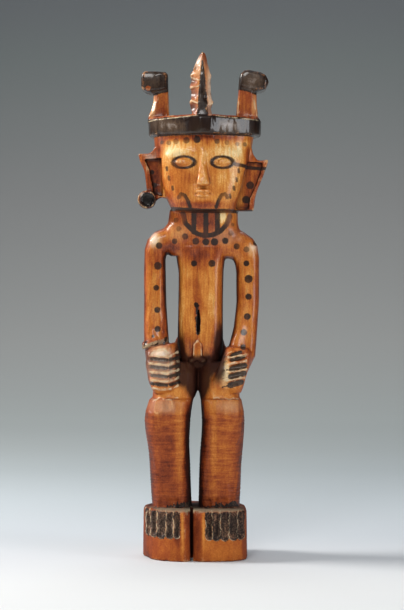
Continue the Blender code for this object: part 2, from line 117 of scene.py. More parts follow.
class Sheet:
    def __init__(self, name):
        self.material = bpy.data.materials.new(name)
        self.material.use_nodes = True
        self.tree = self.material.node_tree
        self.shader = self.tree.nodes["Principled BSDF"]

    def feed(self, socket, value):
        if isinstance(value, Wire):
            self.tree.links.new(value.socket, socket)
        else:
            socket.default_value = value

    def node(self, kind, settings, inputs, output=0):  # any node: its settings first, then its sockets
        made = self.tree.nodes.new(kind)
        for key, value in settings.items():
            if key == "stops":
                for extra in value[2:]:
                    made.color_ramp.elements.new(0.5)
                for element, (place, colour) in zip(made.color_ramp.elements, value):
                    element.position = place
                    element.color = colour
            else:
                setattr(made, key, value)
        for key, value in inputs.items():
            self.feed(made.inputs[key], value)
        return Wire(self, made.outputs[output])

    def math(self, operation, *values):
        return self.node("ShaderNodeMath", {"operation": operation}, dict(enumerate(values)))

    def larger(self, first, second):
        return self.math("MAXIMUM", first, second)

    def between(self, value, low, high):  # 0 at low, 1 at high, smooth between
        settings = {"interpolation_type": "SMOOTHSTEP"}
        return self.node("ShaderNodeMapRange", settings, {0: value, 1: low, 2: high, 3: 0.0, 4: 1.0})

    def mix(self, amount, first, second):
        settings = {"data_type": "RGBA", "clamp_factor": True}
        return self.node("ShaderNodeMix", settings, {0: amount, 6: first, 7: second}, 2)

    def ramp(self, value, stops):
        return self.node("ShaderNodeValToRGB", {"stops": stops}, {0: value})

    def cloud(self, size, detail=2.0, roughness=0.5, shape=(1, 1, 1)):  # noise of a size in mm, 0 to 1
        place = self.node("ShaderNodeTexCoord", {}, {}, "Object")
        factor = [1 / (size * part * mm) for part in shape]
        scaled = self.node("ShaderNodeVectorMath", {"operation": "MULTIPLY"}, {0: place, 1: factor})
        inputs = {"Vector": scaled, "Scale": 1.0, "Detail": detail, "Roughness": roughness}
        return self.node("ShaderNodeTexNoise", {}, inputs)

    def attribute(self, name):
        return self.node("ShaderNodeAttribute", {"attribute_name": name}, {}, "Fac")

    def finish(self, **sockets):
        for name, value in sockets.items():
            self.feed(self.shader.inputs[name.replace("_", " ")], value)
        return self.material


def rgb(red, green, blue):  # a display colour, 0 to 255, as the linear one that nodes work in
    parts = [part / 255 for part in (red, green, blue)]
    return [part / 12.92 if part <= 0.04045 else ((part + 0.055) / 1.055) ** 2.4 for part in parts] + [1.0]


# Studio: a sweep that runs from the floor up into a wall, pale near the floor and greyed towards the wall's
# top by painted shade, and soft lights
sweepSet = {
    "near": -3000.0,
    "corner": 2600.0,
    "wall": 3000.0,
    "halfWidth": 3000.0,
    "cornerRadius": 1500.0,
    "cornerSteps": 16,
    # painted shade: the sweep's tones darken from the near floor up the wall, as the light falls off there
    "tones": [  # from the near floor to the top of the wall
        (0.000, rgb(227, 229, 231)),
        (0.334, rgb(225, 228, 230)),
        (0.347, rgb(211, 215, 220)),
        (0.358, rgb(198, 205, 212)),
        (0.384, rgb(190, 199, 205)),
        (0.413, rgb(177, 186, 190)),
        (0.439, rgb(176, 184, 186)),
        (0.490, rgb(183, 190, 190)),
        (0.549, rgb(174, 176, 175)),
        (0.623, rgb(152, 153, 153)),
        (0.687, rgb(126, 132, 132)),
        (0.709, rgb(118, 122, 125)),
        (1.000, rgb(104, 107, 109)),
    ],
}
figureMiddle = (4, 0, 150)
lightSet = {
    "lights": {
        "key": {"place": (-1000, 110, 760), "aim": figureMiddle, "size": (360, 360), "power": 16.0,
                "tint": (1.0, 0.965, 0.92)},
        "front": {"place": (-200, -1150, 900), "aim": figureMiddle, "size": (560, 380), "power": 8.0,
                  "tint": (1.0, 0.98, 0.95)},
        "side": {"place": (880, -560, 320), "aim": figureMiddle, "size": (300, 480), "power": 3.2,
                 "tint": (0.93, 0.96, 1.0)},
        "top": {"place": (0, 120, 1100), "aim": figureMiddle, "size": (900, 700), "power": 2.0,
                "tint": (0.93, 0.97, 1.0)},
        "back": {"place": (0, 1500, 1900), "aim": (0, 1500, 0), "size": (2400, 600), "power": 17.0,
                 "tint": (0.97, 0.99, 1.0)},
    },
    "air": rgb(235, 240, 245),
    "airLevel": 0.05,
}


def addSweep():
    s = sweepSet
    bpy.ops.mesh.primitive_plane_add(size=1.0, location=(0, 0, 0))
    sweep = bpy.context.object
    sweep.name = "sweep"
    for corner in sweep.data.vertices:
        corner.co.x *= 2 * s["halfWidth"] * mm
        corner.co.y = (s["corner"] if corner.co.y > 0 else s["near"]) * mm
    bpy.ops.object.mode_set(mode="EDIT")
    bpy.ops.mesh.select_all(action="DESELECT")
    bpy.ops.mesh.select_mode(type="EDGE")
    bpy.ops.object.mode_set(mode="OBJECT")
    for edge in sweep.data.edges:
        edge.select = all(sweep.data.vertices[end].co.y > 0 for end in edge.vertices)
    bpy.ops.object.mode_set(mode="EDIT")
    bpy.ops.mesh.extrude_region_move(TRANSFORM_OT_translate={"value": (0, 0, s["wall"] * mm)})
    bpy.ops.mesh.select_all(action="DESELECT")
    bpy.ops.object.mode_set(mode="OBJECT")
    for edge in sweep.data.edges:
        ends = [sweep.data.vertices[end].co for end in edge.vertices]
        edge.select = all(end.y > 0 and end.z < mm for end in ends)
    bpy.ops.object.mode_set(mode="EDIT")
    bpy.ops.mesh.bevel(offset=s["cornerRadius"] * mm, segments=s["cornerSteps"])
    bpy.ops.object.mode_set(mode="OBJECT")
    bpy.ops.object.shade_smooth()
    sheet = Sheet("sweepPaperPaintedShade")
    place = sheet.node("ShaderNodeTexCoord", {}, {}, "Object")
    back = sheet.node("ShaderNodeSeparateXYZ", {}, {0: place}, "Y")
    up = sheet.node("ShaderNodeSeparateXYZ", {}, {0: place}, "Z")
    span = (s["corner"] + s["wall"] - s["near"]) * mm
    along = (back + up - s["near"] * mm) / span  # grows along the floor and then up the wall
    sweep.data.materials.append(sheet.finish(Base_Color=sheet.ramp(along, s["tones"]), Roughness=0.9))


def addLight(name, place, aim, size, power, tint):
    where = Vector(place) * mm
    turn = (Vector(aim) * mm - where).to_track_quat("-Z", "Y").to_euler()
    bpy.ops.object.light_add(type="AREA", location=where, rotation=turn)
    light = bpy.context.object
    light.name = name
    light.data.shape = "RECTANGLE"
    light.data.size, light.data.size_y = size[0] * mm, size[1] * mm
    light.data.energy = power
    light.data.color = tint


def addLights():
    for name, light in lightSet["lights"].items():
        addLight(name, **light)
    world = bpy.data.worlds.new("studioAir")
    world.use_nodes = True
    air = world.node_tree.nodes["Background"]
    air.inputs["Color"].default_value = lightSet["air"]
    air.inputs["Strength"].default_value = lightSet["airLevel"]
    bpy.context.scene.world = world


addSweep()
addLights()
print("studio built")


# Levels and middles that the carving and the paint are laid out from
layout = {
    "soleTop": 30.2,
    "kneeLedge": 95.0,
    "chin": 207.0,
    "crownTop": 263.3,
    "headX": 4.8,
    "leafX": 4.4,
    "loinEdge": [(-0.8, 121.2), (-0.6, 127.6), (1.5, 130.2), (3.4, 127.6), (3.8, 121.2)],
}
headRise = layout["crownTop"] - layout["chin"]
eyeLevel = layout["chin"] + headRise / 2
noseFoot = layout["chin"] + headRise / 4 + 0.8
lipLevel = noseFoot - (noseFoot - layout["chin"]) / 3
eyeAside = 11.4


# Points and directions of a mesh, in millimetres, as rows of numbers
def readRows(piece, what):
    flat = np.empty(len(piece.data.vertices) * 3, np.float32)
    piece.data.vertices.foreach_get(what, flat)
    return flat.reshape(-1, 3).astype(np.float64)


def writePoints(piece, points):
    piece.data.vertices.foreach_set("co", (points * mm).astype(np.float32).ravel())
    piece.data.update()


def ease(value, low, high):  # 0 at low, 1 at high, smooth between
    part = np.clip((value - low) / (high - low), 0, 1)
    return part * part * (3 - 2 * part)


def within(value, start, full, leave, end):  # 1 from full to leave, 0 before start and past the end
    return ease(value, start, full) * ease(value, end, leave)


def toDots(x, z, dots):  # distance to the nearest dot in the front view, negative inside it
    return np.min([np.hypot(x - across, z - up) - radius for across, up, radius in dots], axis=0)


def toPath(x, z, path, halfWidth):  # distance to a line of that half width through the path's points
    nearest = np.full(len(x), np.inf)
    for (x0, z0), (x1, z1) in zip(path, path[1:]):
        length = math.hypot(x1 - x0, z1 - z0)
        ux, uz = (x1 - x0) / length, (z1 - z0) / length
        along = np.clip((x - x0) * ux + (z - z0) * uz, 0, length)
        nearest = np.minimum(nearest, np.hypot(x - x0 - ux * along, z - z0 - uz * along))
    return nearest - halfWidth


# The carved surface: how finely it is meshed, and how deep the knife's marks are
surfaceSet = {
    "voxel": 0.5,
    "softening": 1,
    "triangles": 197000,
    "paintReach": 1.3,  # how far from an edge of the paint the faces stay small
    "facetWidth": 6.0,
    "facetStretch": 4.5,
    "facetAmount": 0.5,
    "facetLimit": 0.25,
    "facetTurn": (0.6, 0.8),  # a facet fades where the surface turns this far from it
    "facetSink": 0.04,
    "waves": [(16.0, 0.15), (6.0, 0.08), (2.2, 0.05)],  # size and height
    "waveStretch": 2.6,
    "nicks": 190,
    "nickSize": (0.7, 2.0),
    "nickStretch": 2.2,
    "nickDepth": 0.45,
    "edge": -0.16,  # how far a point stands above the smoothed surface to count as an edge
    "seed": 11,
}


def copyOfNode(node, name):  # the node's own mesh is left alone
    piece = bpy.data.objects.new(name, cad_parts[node].data.copy())
    bpy.context.scene.collection.objects.link(piece)
    piece.data.materials.clear()
    activate(piece)
    bpy.ops.object.mode_set(mode="EDIT")
    bpy.ops.mesh.select_all(action="SELECT")
    bpy.ops.mesh.remove_doubles(threshold=0.01 * mm)
    bpy.ops.object.mode_set(mode="OBJECT")
    return piece


def knifeFacets(points, normals):  # long flats, as a knife leaves them
    s = surfaceSet
    picker = np.random.default_rng(s["seed"])
    count = int(len(points) * s["voxel"] ** 2 / (s["facetWidth"] ** 2 * s["facetStretch"]))
    middles = picker.choice(len(points), count, replace=False)
    shrink = np.array([1, 1, 1 / s["facetStretch"]])
    tree = kdtree.KDTree(count)
    for number, middle in enumerate(middles):
        tree.insert(points[middle] * shrink, number)
    tree.balance()
    nearest = middles[[tree.find(point)[1] for point in points * shrink]]
    facing = normals[nearest]
    lift = np.clip(((points[nearest] - points) * facing).sum(1), -s["facetLimit"], s["facetLimit"])
    lift *= s["facetAmount"] * ease((normals * facing).sum(1), *s["facetTurn"])
    return points + facing * (lift - s["facetSink"])[:, None]


def waves(points, normals):  # the slow unevenness of a hand-cut surface
    stretch = surfaceSet["waveStretch"]
    for size, height in surfaceSet["waves"]:
        scaled = points / np.array([size, size, size * stretch])
        swell = np.array([noise.noise(Vector(place)) for place in scaled])
        points = points + normals * (swell * height)[:, None]
    return points


# Cuts that the knife and the gouge make in the front, each a path across and up.
# A cut's back spares the points that lie further back than that
footSet = {
    "rightLines": (-29.4, -26.8, -22.6, -17.2, -12.7, -8.9),  # beside and between the toes
    "leftLines": (6.3, 10.2, 14.9, 20.2, 25.1, 29.4),
    "rightTip": 14.8,
    "leftTip": 13.8,
    "tipRound": 0.4,
    "fill": 0.97,  # how much of a toe's width its flute takes
    "depth": 0.75,
    "chips": [  # middle, reach and depth
        ((-30.0, -9.0, 29.0), (3.4, 5.0, 3.6), 1.5),
        ((-31.0, -18.0, 0.5), (5.0, 16.0, 5.0), 1.9),
        ((30.6, -14.0, 30.5), (2.0, 3.0, 2.0), 0.8),
        ((2.0, -28.8, 30.6), (3.0, 2.0, 1.4), 0.5),
    ],
}
handSet = {
    "rightLevels": (118.4, 113.7, 108.6, 103.6),
    "rightEnds": (-26.6, -16.4),  # outer end and fold
    "rightTips": (-14.8, -9.6),
    "rightHalf": 1.75,
    "leftFlutes": [  # level, inner end, outer end and half width
        (122.3, 20.6, 28.2, 1.25),
        (119.4, 20.4, 30.0, 1.25),
        (114.3, 20.0, 30.6, 1.95),
        (109.7, 19.6, 30.2, 1.95),
        (104.4, 19.2, 28.6, 1.95),
    ],
    "leftKnuckles": [(17.4, 115.6), (17.0, 110.4), (16.4, 104.9)],
    "knuckleHalf": 2.0,
    "knuckleDepth": 0.8,
    "knuckleBack": -10,
    "depth": 1.0,
    "fingerBack": -14,
    "tipBack": -12,
    "arch": [(-25.0, 122.0), (-22.0, 124.6), (-18.0, 124.8), (-15.6, 122.6)],  # the back of the hand
    "archHalf": 1.9,
    "archDepth": 0.9,
    "ring": [(-31.0, 126.0), (-24.0, 128.2), (-17.2, 130.0)],
    "ringHalf": 1.9,
    "ringRise": 0.8,
    "crests": [  # wood left standing between the fingers
        ((-26.0, 121.4), (-16.6, 120.6), (-10.4, 122.8)),
        ((-26.4, 116.6), (-16.6, 115.6), (-9.8, 118.0)),
        ((-26.4, 111.7), (-16.6, 110.7), (-9.8, 113.0)),
        ((-26.0, 106.7), (-16.6, 105.7), (-9.8, 108.0)),
        ((-25.4, 101.6), (-16.6, 100.8), (-10.4, 103.0)),
        ((20.0, 120.2), (29.6, 121.4)),
        ((19.4, 116.0), (30.0, 117.9)),
        ((18.8, 111.2), (30.4, 113.1)),
        ((18.4, 106.3), (29.6, 108.2)),
    ],
    "crestHalf": 0.9,
    "crestRise": 0.25,
}
kneeSet = {
    "facets": [  # middle, half width and foot
        (-25.8, 1.9, 87.0),
        (-21.6, 2.5, 88.2),
        (-16.3, 2.9, 88.9),
        (-10.9, 2.6, 86.6),
        (10.8, 2.3, 86.2),
        (15.4, 2.5, 84.9),
        (19.7, 2.1, 85.8),
        (23.6, 2.3, 84.5),
        (27.2, 1.6, 85.8),
    ],
    "arch": 1.2,
    "back": -6,
    "depth": 0.8,
    "ledges": [
        ((-25.5, 94.4), (-20.7, 96.0), (-16.0, 94.9), (-10.1, 96.0)),
        ((11.2, 96.0), (17.1, 95.5), (25.4, 95.5)),
    ],
}
leafSet = {
    "scallops": [  # middle, level and reach
        (0.6, 290.6, 2.0),
        (-1.6, 283.4, 2.9),
        (-1.5, 275.6, 3.2),
        (-1.4, 267.2, 3.0),
        (9.8, 282.4, 2.4),
        (9.9, 275.4, 2.4),
        (9.6, 266.2, 2.6),
    ],
    "halfWidth": 9,
    "depth": 2.0,
    "ridges": [
        ((-3.0, 285.6), (2.0, 283.4)),
        ((-3.2, 278.9), (1.8, 279.8)),
        ((-3.2, 271.9), (1.4, 269.8)),
        ((11.6, 284.8), (8.4, 283.0)),
        ((12.0, 278.0), (8.8, 276.0)),
        ((12.0, 270.6), (9.2, 269.0)),
    ],
    "ridgeHalf": 0.9,
    "ridgeRise": 0.5,
}
shinSet = {
    "levels": (31.5, 34.5, 83.0, 86.0),
    "pitch": 1.7,
    "drift": 1.3,
    "depth": 0.16,
}
postSet = {
    "sides": [  # way out, levels and where the flat starts at each
        (-1, (263.6, 267.6, 272.9, 279.0), (-27.6, -24.3, -22.9, -22.2)),
        (1, (263.6, 268.0, 273.0, 280.0), (37.4, 35.4, 34.2, 33.6)),
    ],
    "front": 8.0,
    "depth": 2.2,
    "foot": 263.4,
    "top": (280.5, 278.0),
    "edges": [  # rubbed pale
        ((-15.9, 278.0), (-15.5, 263.4)),
        ((26.6, 278.5), (25.2, 263.4)),
        ((34.6, 276.3), (37.2, 264.0)),
        ((-22.0, 275.0), (-24.6, 268.0), (-28.0, 263.8)),
    ],
}
faceSet = {  # each cut: its path from a middle of its own, half width, depth and back
    "lidLine": ([(-5.0, -0.6), (-2.6, -1.5), (0.0, -1.8), (2.6, -1.5), (5.0, -0.5)], 0.7, 0.45, -18),
    "lidCrease": ([(-6.0, 1.0), (-3.4, 3.3), (0.0, 4.0), (3.4, 3.2), (5.6, 1.2)], 1.0, 0.5, -18),
    "brow": ([(8.6, 4.6), (4.0, 7.2), (-1.0, 7.4), (-5.6, 5.6)], 2.4, -0.7, -16),
    "wing": ([(3.4, 4.6), (4.6, 2.0), (3.6, 0.2)], 0.8, 0.45, -18),
    "cheekFold": ([(5.6, 1.0), (8.6, -4.0), (9.0, -7.0)], 1.5, 0.35, -16),
    "mouth": ([(-5.0, -0.3), (-2.0, 0.1), (0.0, -0.2), (2.0, 0.1), (5.0, -0.3)], 0.7, 0.5, -18),
    "upperLip": ([(0.0, 2.4), (0.0, 4.36)], 1.0, 0.3, -18),
    "chin": ((0.0, -23.0, 3.6), (7.0, 8.0, 3.6), -0.6),  # middle, reach and depth
}


def gouge(points, normals, path, half, depth, back=0.0):  # a depth below 0 leaves wood standing
    x, y, z = points.T
    inside = np.clip(-toPath(x, z, path, half) / half, 0, 1)  # 0 at the rim, 1 on the line
    front = ease(-normals[:, 1], 0.15, 0.55) * (y < back)
    cut = depth * (1 - (1 - inside) ** 2) * front
    return points + np.array([0, 1, 0]) * cut[:, None]


def dent(points, normals, middle, radii, depth):
    away = (((points - middle) / radii) ** 2).sum(1)
    return points - normals * (depth * np.clip(1 - away, 0, 1) ** 1.5)[:, None]


def toes():  # each toe's middle, half width and the level where its round tip starts
    s = footSet
    for side in ("right", "left"):
        for start, end in zip(s[side + "Lines"], s[side + "Lines"][1:]):
            half = (end - start) / 2
            yield (start + end) / 2, half, s[side + "Tip"] + half * s["tipRound"]


def carveFeet(points, normals):
    s = footSet
    for middle, half, foot in toes():
        flute = [(middle, foot), (middle, layout["soleTop"] + 4)]
        points = gouge(points, normals, flute, half * s["fill"], s["depth"])
    for middle, reach, depth in s["chips"]:
        points = dent(points, normals, middle, reach, depth)
    return points


def carveHands(points, normals):
    s = handSet
    outer, fold = s["rightEnds"]
    near, far = s["rightTips"]
    for level in s["rightLevels"]:
        finger = [(outer, level + 0.6), (fold, level - 0.4)]
        points = gouge(points, normals, finger, s["rightHalf"], s["depth"], s["fingerBack"])
        tip = [(near, level - 0.2), (far, level + 1.4)]
        points = gouge(points, normals, tip, s["rightHalf"] * 0.8, s["depth"] * 0.7, s["tipBack"])
    points = gouge(points, normals, s["arch"], s["archHalf"], s["archDepth"], s["fingerBack"])
    points = gouge(points, normals, s["ring"], s["ringHalf"], -s["ringRise"])
    for crest in s["crests"]:
        points = gouge(points, normals, crest, s["crestHalf"], -s["crestRise"], s["tipBack"])
    for level, inner, outer, half in s["leftFlutes"]:
        finger = [(inner, level - 0.9), (outer, level + 1.0)]
        points = gouge(points, normals, finger, half, s["depth"], s["tipBack"])
    for across, level in s["leftKnuckles"]:
        dip = [(across - 0.6, level - 0.5), (across + 1.0, level + 0.6)]
        points = gouge(points, normals, dip, s["knuckleHalf"], s["knuckleDepth"], s["knuckleBack"])
    return points


def carveKnees(points, normals):
    s = kneeSet
    x, y, z = points.T
    front = ease(-normals[:, 1], 0.1, 0.5) * (y < s["back"])
    cut = np.zeros(len(points))
    for across, half, foot in s["facets"]:
        off = ((x - across) / half) ** 2
        arch = foot + s["arch"] * off
        hollow = np.clip(1 - off, 0, 1) * ease(z, arch - 0.3, arch + 0.5)
        cut += s["depth"] * hollow * (z < layout["kneeLedge"] - 0.4)
    return points + np.array([0, 1, 0]) * (cut * front)[:, None]


def carveLeaf(points, normals):
    s = leafSet
    x, y, z = points.T
    leaf = (z > layout["crownTop"]) * (np.abs(x - layout["leafX"]) < s["halfWidth"]) * (normals[:, 1] < 0)
    for across, level, reach in s["scallops"]:
        away = ((x - across) / reach) ** 2 + ((z - level) / (reach * 1.05)) ** 2
        scallop = s["depth"] * np.clip(1 - away, 0, 1) * leaf
        points = points + np.array([0, 1, 0]) * scallop[:, None]
    for ridge in s["ridges"]:
        points = gouge(points, normals, ridge, s["ridgeHalf"], -s["ridgeRise"], 20)
    return points


def carveShins(points, normals):  # fine level marks, as a scraper leaves them round the shin
    s = shinSet
    x, z = points[:, 0], points[:, 2]
    drift = np.array([noise.noise(Vector((px / 9, 3.0, pz / 7))) for px, pz in zip(x, z)])
    ripple = np.sin(2 * math.pi * (z / s["pitch"] + s["drift"] * drift)) * within(z, *s["levels"])
    return points + normals * (s["depth"] * ripple * (0.6 + drift))[:, None]


def carvePosts(points, normals):  # the sloping flat that the knife left down each post's outer edge
    s = postSet
    slope = math.sqrt(0.5)
    for way, levels, starts in s["sides"]:
        x, y, z = points.T
        out = (x - np.interp(z, levels, starts)) * way
        reach = (z > s["foot"]) * ease(z, *s["top"]) * (out > -4) * (y < 1)
        cut = np.clip(slope * (out - y - s["front"]), 0, s["depth"]) * reach
        points = points - np.array([way, -1, 0]) * (slope * cut)[:, None]
    return points


def carveFace(points, normals):
    headX = layout["headX"]

    def cutAt(points, name, across, up, way):
        path, half, depth, back = faceSet[name]
        placed = [(across + way * aside, up + above) for aside, above in path]
        return gouge(points, normals, placed, half, depth, back)

    for way in (-1, 1):
        for name in ("lidLine", "lidCrease", "brow"):
            points = cutAt(points, name, headX + way * eyeAside, eyeLevel, way)
        for name in ("wing", "cheekFold"):
            points = cutAt(points, name, headX, noseFoot, way)
    for name in ("mouth", "upperLip"):
        points = cutAt(points, name, headX, lipLevel, 1)
    (aside, forward, above), reach, depth = faceSet["chin"]
    return dent(points, normals, (headX + aside, forward, layout["chin"] + above), reach, depth)


def neighbours(piece):
    pairs = np.empty(len(piece.data.edges) * 2, np.int32)
    piece.data.edges.foreach_get("vertices", pairs)
    return pairs.reshape(-1, 2)


def spread(values, pairs, times):  # each point takes the mean of its neighbours, again and again
    count = len(values)
    share = np.bincount(pairs.ravel(), minlength=count)
    for step in range(times):
        total = np.bincount(pairs[:, 0], values[pairs[:, 1]], count)
        total += np.bincount(pairs[:, 1], values[pairs[:, 0]], count)
        values = total / np.maximum(share, 1)
    return values


def sunkness(points, normals, pairs, times):  # how far a point lies below the smoothed surface, in mm
    smooth = np.stack([spread(column, pairs, times) for column in points.T], axis=1)
    return ((smooth - points) * normals).sum(1)


def carveFigure():
    s = surfaceSet
    piece = copyOfNode("carved_figure", "carvedFigure")
    applyModifier(piece, "REMESH", mode="VOXEL", voxel_size=s["voxel"] * mm)
    applyModifier(piece, "SMOOTH", factor=0.5, iterations=s["softening"])
    points, normals = readRows(piece, "co") / mm, readRows(piece, "normal")
    print("carving", len(points), "points")
    points = knifeFacets(points, normals)
    for carve in (carveFeet, carveHands, carveKnees, carveLeaf, carvePosts, carveShins, carveFace, waves):
        points = carve(points, normals)
    writePoints(piece, points)
    normals = readRows(piece, "normal")
    edges = np.flatnonzero(sunkness(points, normals, neighbours(piece), 10) < s["edge"])
    picker = np.random.default_rng(s["seed"] + 1)
    for place in picker.choice(edges, s["nicks"], replace=False):
        size = picker.uniform(*s["nickSize"])
        radii = np.array([size, size, size * picker.uniform(1.0, s["nickStretch"])])
        points = dent(points, normals, points[place], radii, s["nickDepth"] * size / s["nickSize"][1])
    writePoints(piece, points)
    return piece


figure = carveFigure()
print("figure carved")


# Where the paint lies. Every mark is a distance in the front view, negative inside it
markSet = {
    "dots": [  # across, up and radius: round the brow, the ears, the neck, the shoulders, then the arms
        (-19.6, 247.7, 1.1), (-15.6, 247.2, 1.3), (-11.2, 247.9, 1.6), (-5.1, 248.3, 1.8), (1.2, 248.6, 2.0),
        (13.0, 247.7, 1.4), (18.9, 247.1, 1.3), (25.1, 246.5, 1.1), (29.5, 246.5, 1.1),
        (-25.8, 230.6, 1.3), (-24.3, 222.8, 1.3), (33.0, 222.7, 2.2), (30.5, 214.1, 2.2),
        (-11.3, 201.5, 1.4), (-9.8, 196.5, 1.4), (22.4, 198.9, 0.9), (21.4, 193.8, 1.5),
        (-21.5, 186.4, 1.8), (-12.1, 189.0, 1.6), (-6.0, 191.8, 1.7), (0.4, 189.0, 1.9), (6.4, 188.6, 2.0),
        (11.5, 188.6, 2.1), (18.0, 189.3, 1.8), (24.8, 185.9, 1.7), (30.6, 184.2, 1.6), (36.1, 187.9, 1.3),
        (-0.6, 175.8, 1.8), (10.1, 175.8, 2.0),
        (-22.2, 174.4, 2.2), (-23.1, 161.3, 1.6), (-22.5, 148.1, 1.7), (-22.3, 136.8, 1.7),
        (-25.0, 132.5, 0.8), (30.6, 175.8, 1.7), (31.9, 166.6, 2.3), (31.8, 156.0, 1.8),
        (31.1, 144.2, 1.9), (28.9, 134.8, 1.8), (28.4, 126.1, 1.5),
    ],
    "cheeks": [  # short strokes
        (-16.6, 231.0), (-15.4, 225.4), (-13.2, 219.4),
        (26.0, 229.8), (24.8, 224.4), (23.2, 219.4), (20.8, 214.6),
    ],
    "cheekStroke": (-0.2, 1.6),
    "cheekHalf": 0.65,
    "beardRim": [
        (-7.2, 205.7), (-5.7, 199.7), (-2.4, 196.2), (1.2, 193.5), (5.3, 192.3), (10.7, 192.8),
        (15.2, 195.0), (18.7, 198.8), (20.7, 203.9),
    ],
    "beardRimHalf": 1.35,
    "beardBars": [(-0.7, 206.2, 194.4), (6.4, 206.2, 193.4), (13.3, 206.2, 194.4)],  # across, top and foot
    "beardBarHalf": 1.4,
    "whisker": [(7.6, 1.8), (9.0, 5.6), (11.0, 9.0), (13.0, 9.6), (14.4, 7.6)],  # aside, above the chin
    "whiskerHalf": 0.95,
    "jawLine": [(-16.6, 208.4), (4.0, 206.8), (33.7, 206.8)],
    "jawLineHalf": 1.0,
    "earBar": [(23.6, 234.4), (34.0, 233.0), (42.0, 232.4)],
    "earBarHalf": 0.95,
    "lidRadii": (6.3, 3.4),
    "lidRise": 0.2,
    "lidHalf": 0.6,
}
coatSet = {
    "bandFoot": 251.4,
    "bandTop": 262.4,
    "bandEdges": [((-27.6, 260.8), (1.6, 262.6)), ((12.0, 262.4), (38.0, 261.0))],  # rubbed pale
    # painted shade: the crack's edges are coated black, as the split lies in shade
    "crack": [  # its blackened edges, and their half widths
        ([(0.5, 151.4), (1.1, 150.6)], 1.4),
        ([(0.9, 150.0), (1.2, 146.0)], 0.8),
        ([(1.3, 143.5), (1.7, 139.0), (1.7, 134.5)], 1.25),
    ],
    "spineFoot": 254,
    "leafLevels": (255, 264, 277, 287.5, 295),
    "leafHalf": (3.9, 3.3, 2.3, 1.4, 0.4),
    "knobs": [  # across, and the foot of the paint there
        ((-33, -27, -16), (275.4, 275.8, 278.6)),
        ((26.2, 30, 37, 44), (280.0, 279.0, 276.8, 277.0)),
    ],
    "bareSpot": (-28.2, 280.6, 1.5),
    "ornament": (-28.2, 213.8, 4.3),
    "ringBands": [
        ((-30.6, 124.4), (-29.2, 129.0)),
        ((-26.0, 127.6), (-22.6, 128.2)),
        ((-18.4, 128.2), (-17.2, 131.4)),
    ],
    "ringBandHalf": 0.8,
    "ankleAcross": (-22, -15, -8, -2, 4, 8, 14, 24, 28),
    "ankleTops": (29.5, 31.8, 33.4, 33.6, 31.0, 30.6, 33.2, 33.2, 30.4),
    "ankleRagged": 2.0,
    "ankleFoot": 30.4,
    "ankleFront": -16.5,
    "knuckleHalf": 0.25,
}
scrapedAndHighlitSet = {  # half widths of the thin pale lines
    "leafRidge": 0.4,
    "edge": 0.3,
    "loin": 0.25,
    "knee": 0.4,
    "toeTip": 0.18,
    "toeSide": 0.22,
    "crest": 0.6,
}
